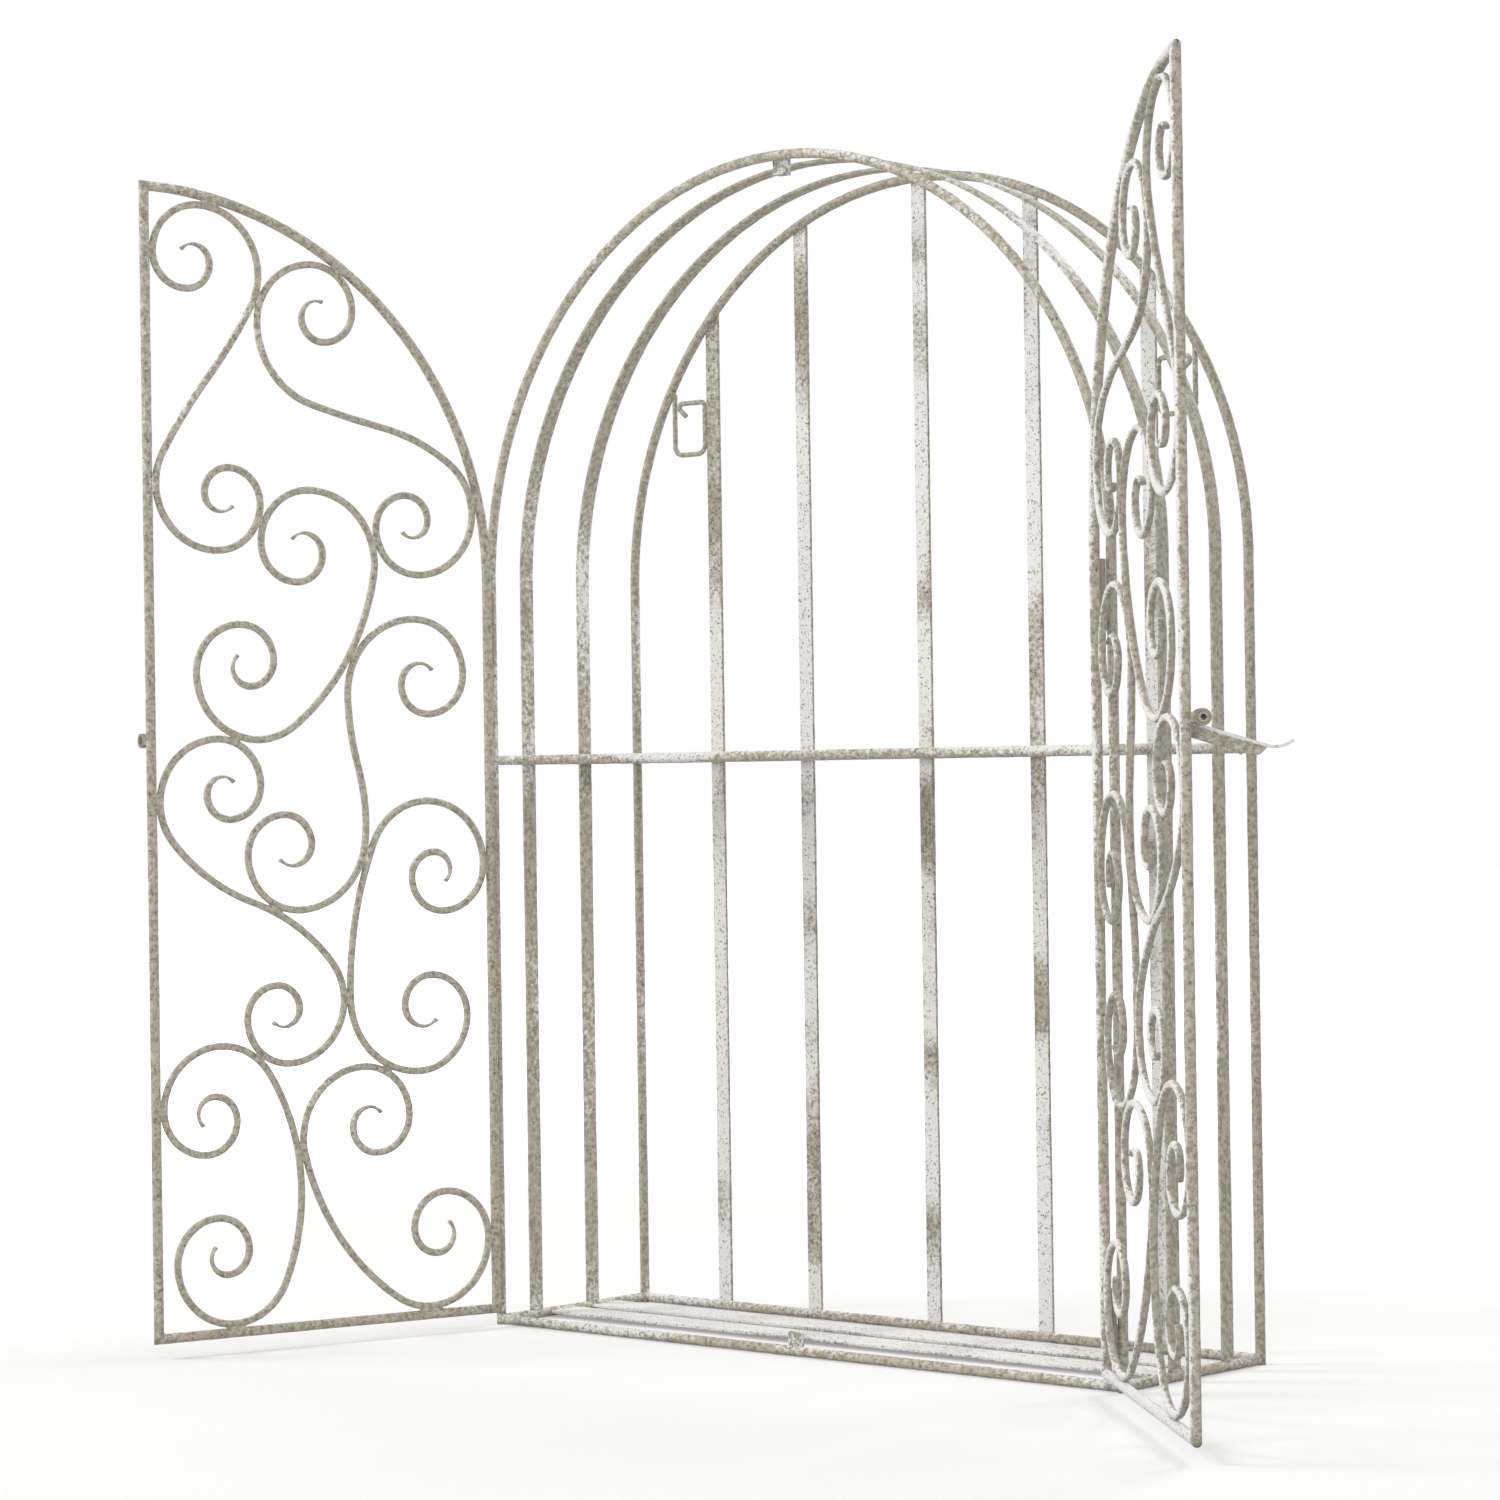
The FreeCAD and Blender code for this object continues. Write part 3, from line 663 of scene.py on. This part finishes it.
def relief(tree, height):
    """The direction that the skin looks in, with the paint's small heights and hollows."""
    bump = tree.nodes.new("ShaderNodeBump")
    bump.inputs["Strength"].default_value = RELIEF_STRENGTH
    bump.inputs["Distance"].default_value = PAINT_RELIEF
    tree.links.new(height, bump.inputs["Height"])
    return bump.outputs["Normal"]


def paint(name, whitewash, shade, pitted, inside=0.0, painted_shade_sides=0.0, ragged=RAGGED, rim=None):
    """Rubbed grey-beige paint: whitewash in patches, fine dark pits, scale and worn edges.

    whitewash is about the share of the skin that it covers, from 0 to 1; pitted is how thick the
    pits lie, from 0 to 1; shade darkens the beige under both; ragged, from 0 to 1, breaks up the
    outline of the patches. Faces that look up get a little more whitewash, a painted highlight. By
    the value inside, faces that look in towards the middle of the cabinet get more, a painted
    highlight;
    by the value for painted shade on the sides, faces that look sideways get less, a painted shade.
    rim, a direction and how far out along it an edge lies, puts a painted highlight in a band along
    that edge."""
    material = bpy.data.materials.new(name)
    material.use_nodes = True
    tree = material.node_tree
    shader = tree.nodes["Principled BSDF"]
    coordinates = tree.nodes.new("ShaderNodeTexCoord")
    place = coordinates.outputs["Object"]
    facing = parts_of(tree, coordinates.outputs["Normal"])
    outwards = sums(tree, "MULTIPLY", parts_of(tree, place)["X"], facing["X"])
    sideways = sums(tree, "MULTIPLY", facing["X"], facing["X"])

    patches = noise_texture(tree, place, PATCH_SIZE, *PATCH_CLOUD)
    mottle = noise_texture(tree, place, MOTTLE_SIZE, *MOTTLE_CLOUD)
    grain = noise_texture(tree, place, GRAIN_SIZE, *GRAIN_CLOUD)
    specks = noise_texture(tree, place, SPECK_SIZE, *SPECK_CLOUD)

    beige = tuple(shade * channel for channel in BEIGE)
    taupe = tuple(shade * channel for channel in TAUPE)
    ground = blended(tree, between(tree, mottle, *GROUND_RANGE), taupe, beige)
    # Spread of the whitewash, with painted light: more on faces that look up or in towards the
    # middle, a painted highlight, and less on faces that look sideways, a painted shade
    spread = weighted(
        tree,
        (patches, 1.0 - ragged),
        (mottle, MOTTLE_SHARE * ragged),
        (grain, GRAIN_SHARE * ragged),
        (facing["Z"], TOP_PAINTED_HIGHLIGHT),
        (outwards, -inside / INSIDE_REACH),
        (sideways, -painted_shade_sides),
    )
    middle = CLOUD_MEAN + WASH_RANGE * (0.5 - whitewash)
    whitewash_and_painted_light = between(tree, spread, middle - WASH_EDGE, middle + WASH_EDGE)
    # Painted highlight in a band along the rim edge
    if rim is not None:
        whitewash_and_painted_light = sums(tree, "MAXIMUM", whitewash_and_painted_light, painted_highlight_band(tree, place, mottle, *rim))
    coat = blended(tree, whitewash_and_painted_light, ground, CHALK)
    worn = blended(tree, worn_edges(tree, mottle), coat, TAUPE)
    limit = PIT_LIMIT - PIT_GAIN * pitted
    pits = between(tree, specks, limit - PIT_EDGE, limit + PIT_EDGE)
    colour = blended(tree, sums(tree, "MULTIPLY", pits, PIT_STRENGTH), worn, BROWN)
    tree.links.new(colour, shader.inputs["Base Color"])
    roughness = between(tree, grain, *GLOSS_RANGE, *ROUGHNESS_RANGE)
    tree.links.new(roughness, shader.inputs["Roughness"])
    shader.inputs["Specular IOR Level"].default_value = SPECULAR_LEVEL
    height = weighted(tree, (mottle, MOTTLE_RELIEF), (grain, GRAIN_RELIEF), (pits, PIT_RELIEF))
    tree.links.new(relief(tree, height), shader.inputs["Normal"])
    return material


def lever_top(node):
    """The direction that a lever's long upper edge looks in, and how far out the edge lies."""
    faces = [face for face in nodes[node].data.polygons if face.normal.z > LEVER_UP]
    longest = max(faces, key=lambda face: face.area)
    return tuple(longest.normal), longest.normal.dot(longest.center)


def bevelled_lever(node, material):
    """The latch's lever with hammered faces and rounded edges."""
    shape = bmesh.new()
    shape.from_mesh(nodes[node].data)
    bmesh.ops.remove_doubles(shape, verts=shape.verts, dist=LEVER_MERGE)
    bmesh.ops.dissolve_limit(shape, angle_limit=LEVER_FLAT, verts=shape.verts, edges=shape.edges)
    sharp = [edge for edge in shape.edges if edge.calc_face_angle(0.0) > LEVER_SHARP]
    bmesh.ops.bevel(
        shape, geom=sharp, offset=LEVER_BEVEL, segments=LEVER_BEVEL_STEPS,
        profile=LEVER_BEVEL_ROUND, affect="EDGES",
    )
    bmesh.ops.remove_doubles(shape, verts=shape.verts, dist=LEVER_SLIVER)
    bmesh.ops.triangulate(shape, faces=shape.faces)
    for _ in range(LEVER_CUTS):
        long = [edge for edge in shape.edges if edge.calc_length() > LEVER_SPACING]
        bmesh.ops.subdivide_edges(shape, edges=long, cuts=1)
        bmesh.ops.triangulate(shape, faces=shape.faces)
    bmesh.ops.dissolve_degenerate(shape, dist=LEVER_SLIVER, edges=shape.edges)
    bmesh.ops.triangulate(shape, faces=shape.faces)
    shape.normal_update()
    shape.verts.index_update()
    for vertex in shape.verts:
        vertex.co -= vertex.normal * dent(vertex.co)
    points = [tuple(vertex.co) for vertex in shape.verts]
    faces = [tuple(vertex.index for vertex in face.verts) for face in shape.faces]
    shape.free()
    stand_in(node, points, faces, material)


def outline_of(piece):
    """A piece's points, its lowest and highest corner, and a tree that finds its nearest point."""
    points = [vertex.co.copy() for vertex in piece.data.vertices]
    faces = [tuple(polygon.vertices) for polygon in piece.data.polygons]
    places = np.array(points)
    return points, places.min(axis=0), places.max(axis=0), BVHTree.FromPolygons(points, faces)


def near_points(first, second):
    """Points midway between two outlines, wherever they come within a weld's reach."""
    points, low, high, _ = first
    _, other_low, other_high, tree = second
    low = np.maximum(low, other_low) - WELD_REACH
    high = np.minimum(high, other_high) + WELD_REACH
    found = []
    if (low > high).any():
        return found
    for point in points:
        if any(point[axis] < low[axis] or point[axis] > high[axis] for axis in range(3)):
            continue
        place = tree.find_nearest(point, WELD_REACH)[0]
        if place is not None:
            found.append((np.array(point) + np.array(place)) / 2.0)
    return found


def clustered(points):
    """Points gathered into groups about one weld apart."""
    groups = []
    for point in points:
        for group in groups:
            if np.linalg.norm(np.mean(group, axis=0) - point) < WELD_CLUSTER:
                group.append(point)
                break
        else:
            groups.append([point])
    return [np.array(group) for group in groups if len(group) >= WELD_LEAST_POINTS]


def bead(group):
    """Points and faces of one lumpy weld bead along the line where two bars touch."""
    centre = group.mean(axis=0)
    _, directions = np.linalg.eigh(np.cov((group - centre).T))
    if np.linalg.det(directions) < 0.0:
        directions[:, 0] = -directions[:, 0]
    half_length = np.clip(np.ptp((group - centre) @ directions[:, 2]) / 2.0, *WELD_HALF_LENGTH)
    sizes = np.array((WELD_HALF_WIDTH, WELD_HALF_WIDTH, half_length))
    ball = bmesh.new()
    bmesh.ops.create_icosphere(ball, subdivisions=BEAD_SUBDIVISIONS, radius=1.0)
    ball.verts.index_update()
    points = []
    for vertex in ball.verts:
        spot = np.array(vertex.co)
        point = centre + directions @ (spot * sizes)
        lump = noise.noise(Vector(point) / WELD_LUMP_PITCH)
        points.append(point + directions @ unit(spot / sizes) * WELD_LUMP * lump)
    faces = [tuple(vertex.index for vertex in face.verts) for face in ball.faces]
    ball.free()
    return points, faces


def weld_beads(body, material):
    """All weld beads of one body as one piece."""
    outlines = [outline_of(piece) for piece, owner in forged if owner == body]
    points, faces = [], []
    for first, second in itertools.combinations(outlines, 2):
        for group in clustered(near_points(first, second)):
            bead_points, bead_faces = bead(group)
            shift = len(points)
            points.extend(bead_points)
            faces.extend([tuple(corner + shift for corner in face) for face in bead_faces])
    piece = make_mesh(body + "_welds", np.clip(points, *cad_box), faces)
    piece.data.materials.append(material)
    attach(piece, body)


def set_camera():
    """The photograph's viewpoint: low, from the cabinet's right front, with a long lens."""
    level = math.cos(CAMERA_PITCH)
    ahead = Vector((
        -math.sin(CAMERA_YAW) * level,
        math.cos(CAMERA_YAW) * level,
        -math.sin(CAMERA_PITCH),
    ))
    right = Vector((math.cos(CAMERA_YAW), math.sin(CAMERA_YAW), 0.0))
    above = right.cross(ahead)
    tilted_right = right * math.cos(CAMERA_ROLL) + above * math.sin(CAMERA_ROLL)
    tilted_above = above * math.cos(CAMERA_ROLL) - right * math.sin(CAMERA_ROLL)
    turned = Matrix((tilted_right, tilted_above, -ahead)).transposed()
    camera = bpy.data.objects.new("camera", bpy.data.cameras.new("camera"))
    camera.data.sensor_width = CAMERA_SENSOR
    camera.data.lens = CAMERA_LENS
    camera.matrix_world = Matrix.Translation(CAMERA_PLACE) @ turned.to_4x4()
    bpy.context.scene.collection.objects.link(camera)
    bpy.context.scene.camera = camera


def background_rays(tree):
    """One for rays that look at the background straight or by reflection, nothing for the rest."""
    rays = tree.nodes.new("ShaderNodeLightPath")
    seen = sums(tree, "MAXIMUM", rays.outputs["Is Camera Ray"], rays.outputs["Is Glossy Ray"])
    return sums(tree, "MAXIMUM", seen, rays.outputs["Is Transmission Ray"])


def set_world():
    """White surroundings for the camera, even soft light for the object."""
    world = bpy.data.worlds.new("studio")
    bpy.context.scene.world = world
    world.use_nodes = True
    tree = world.node_tree
    light = tree.nodes["Background"]
    light.inputs["Color"].default_value = WORLD_COLOUR
    light.inputs["Strength"].default_value = WORLD_STRENGTH
    white = tree.nodes.new("ShaderNodeBackground")
    white.inputs["Color"].default_value = WHITE
    white.inputs["Strength"].default_value = 1.0
    mix = tree.nodes.new("ShaderNodeMixShader")
    tree.links.new(background_rays(tree), mix.inputs[0])
    tree.links.new(light.outputs[0], mix.inputs[1])
    tree.links.new(white.outputs[0], mix.inputs[2])
    tree.links.new(mix.outputs[0], tree.nodes["World Output"].inputs["Surface"])


def set_floor():
    """A wide pale floor that shows the object's shadow and runs into the white background."""
    signs = ((-1, -1), (1, -1), (1, 1), (-1, 1))
    corners = [(FLOOR_HALF * x, FLOOR_HALF * y, 0.0) for x, y in signs]
    floor = make_mesh("floor", corners, [(0, 1, 2, 3)])
    floor.location = (0.0, 0.0, floor_level)
    material = bpy.data.materials.new("floor_paper")
    material.use_nodes = True
    tree = material.node_tree
    shader = tree.nodes["Principled BSDF"]
    shader.inputs["Base Color"].default_value = FLOOR_COLOUR
    shader.inputs["Roughness"].default_value = 1.0
    shader.inputs["Specular IOR Level"].default_value = 0.0
    place = tree.nodes.new("ShaderNodeTexCoord").outputs["Object"]
    length = tree.nodes.new("ShaderNodeVectorMath")
    length.operation = "LENGTH"
    tree.links.new(place, length.inputs[0])
    far = between(tree, length.outputs["Value"], *FLOOR_FADE, FLOOR_LIFT, 1.0)
    seen = sums(tree, "MULTIPLY", background_rays(tree), far)
    glow = tree.nodes.new("ShaderNodeEmission")
    tree.links.new(seen, glow.inputs["Strength"])
    both = tree.nodes.new("ShaderNodeAddShader")
    tree.links.new(shader.outputs[0], both.inputs[0])
    tree.links.new(glow.outputs[0], both.inputs[1])
    tree.links.new(both.outputs[0], tree.nodes["Material Output"].inputs["Surface"])
    floor.data.materials.append(material)


def soft_lamp(name, place, target, size, power):
    """A large square lamp that faces a target."""
    data = bpy.data.lights.new(name, "AREA")
    data.size = size
    data.energy = power
    lamp = bpy.data.objects.new(name, data)
    lamp.location = place
    lamp.rotation_euler = (Vector(target) - Vector(place)).to_track_quat("-Z", "Y").to_euler()
    bpy.context.scene.collection.objects.link(lamp)


# Pieces that are shown in place of nodes, each with the body that it rides on
forged = []

# Paints. Some carry painted light and shade; the value inside is a painted highlight on faces that
# look in towards the middle of the cabinet
frame_paint = paint("frame_paint", whitewash=0.20, shade=0.95, pitted=0.9, inside=0.05)
# The rear arch's paint: a darker copy of the frame paint, painted shade on its unlit faces
rear_paint_with_painted_shade = paint("rear_paint_with_painted_shade", whitewash=0.18, shade=0.82, pitted=0.9, inside=0.05)
hoop_paint = paint("hoop_paint", whitewash=0.22, shade=0.88, pitted=0.8, inside=0.05)
level_paints = {
    "base": paint("base_paint", whitewash=0.25, shade=0.95, pitted=1.0),
    "shelf": paint("shelf_paint", whitewash=0.44, shade=0.95, pitted=1.0),
}
# Back bars: thick whitewash in sharp-edged patches, partly the bars' own whitewash and partly painted
# sunlight, with the beige between as painted shadow; side faces get painted shade
back_paint_and_painted_light = paint("back_paint_and_painted_light", whitewash=0.62, shade=0.80, pitted=1.0, painted_shade_sides=0.25, ragged=0.22)
slat_paint = paint("slat_paint", whitewash=0.60, shade=0.85, pitted=1.0)
# Stops: whitewash laid thick, partly their own whitewash and partly painted light that lifts them
# where they sit in shade
stop_paint = paint("stop_paint", whitewash=0.70, shade=1.0, pitted=0.9)
loop_paint = paint("loop_paint", whitewash=0.20, shade=0.80, pitted=0.7)
hinge_paint = paint("hinge_paint", whitewash=0.12, shade=0.80, pitted=0.8)
# The lever's long upper edge, along which its paint gets a painted highlight
lever_highlight_edge = lever_top("latch_handle")
lever_paint = paint("lever_paint", whitewash=0.10, shade=0.85, pitted=0.9, rim=lever_highlight_edge)
bolt_paint = paint("bolt_paint", whitewash=0.45, shade=0.90, pitted=0.8)
weld_paint = paint("weld_paint", whitewash=0.25, shade=0.95, pitted=0.5)
# The right door's paint carries more whitewash than the left door's, most on faces that look in:
# painted light, a lit copy of the door paint
door_paints = {
    "left": paint("left_door_paint", whitewash=0.14, shade=0.92, pitted=1.0),
    "right": paint("right_door_paint_and_painted_light", whitewash=0.42, shade=0.88, pitted=0.9, inside=0.10),
}
# The right scrolls carry more whitewash than the left ones, most on faces that look in: painted
# light, a lit copy of the scroll paint
scroll_paints = {
    "left": paint("left_scroll_paint", whitewash=0.08, shade=0.92, pitted=0.9),
    "right": paint("right_scroll_paint_and_painted_light", whitewash=0.38, shade=0.78, pitted=0.8, inside=0.11),
}

# Paint on the nodes, of which hinges, latch tubes, bolt, stops and loops stay in view
for node, cad_object in nodes.items():
    cad_object.data.materials.clear()
    if node == "latch_bolt":
        cad_object.data.materials.append(bolt_paint)
    elif slot_of(node) == "hinge_paint":
        cad_object.data.materials.append(hinge_paint)
    elif "stop" in node:
        cad_object.data.materials.append(stop_paint)
    else:
        cad_object.data.materials.append(loop_paint)

# Forged pieces and welds
round_arch("front_arch", frame_paint)
round_arch("rear_arch", rear_paint_with_painted_shade)
for node in ("hoop_front", "hoop_rear"):
    flat_hoop(node, hoop_paint)
for node in sorted(name for name in nodes if name.startswith("back_bar_")):
    back_bar(node, back_paint_and_painted_light)
for level in ("base", "shelf"):
    for bar in ("front_bar", "left_bar", "right_bar", "rear_bar"):
        straight_bar(level + "_" + bar, level_paints[level])
    for slat in ("slat_front", "slat_rear"):
        straight_bar(level + "_" + slat, slat_paint)
for side in ("left", "right"):
    door_frame(side, door_paints[side])
    plane = np.cross(door_layout(side)["across"], UP)
    for node in sorted(name for name in nodes if name.startswith(side + "_scroll_")):
        forged_scroll(node, plane, scroll_paints[side])
bevelled_lever("latch_handle", lever_paint)
weld_beads("cabinet_frame", weld_paint)
for side in ("left", "right"):
    weld_beads(side + "_door", weld_paint)

# Studio
set_camera()
set_world()
set_floor()
soft_lamp("key_lamp", place=(-2.4, -2.0, 1.6), target=(0.1, -0.15, -0.3), size=1.1, power=66.0)
soft_lamp("fill_lamp", place=(2.3, -2.9, 0.35), target=(0.0, -0.2, -0.3), size=1.2, power=42.0)
soft_lamp("back_lamp", place=(0.4, 1.5, 1.1), target=(0.0, -0.2, -0.5), size=0.9, power=24.0)
bpy.context.scene.view_settings.view_transform = "Standard"
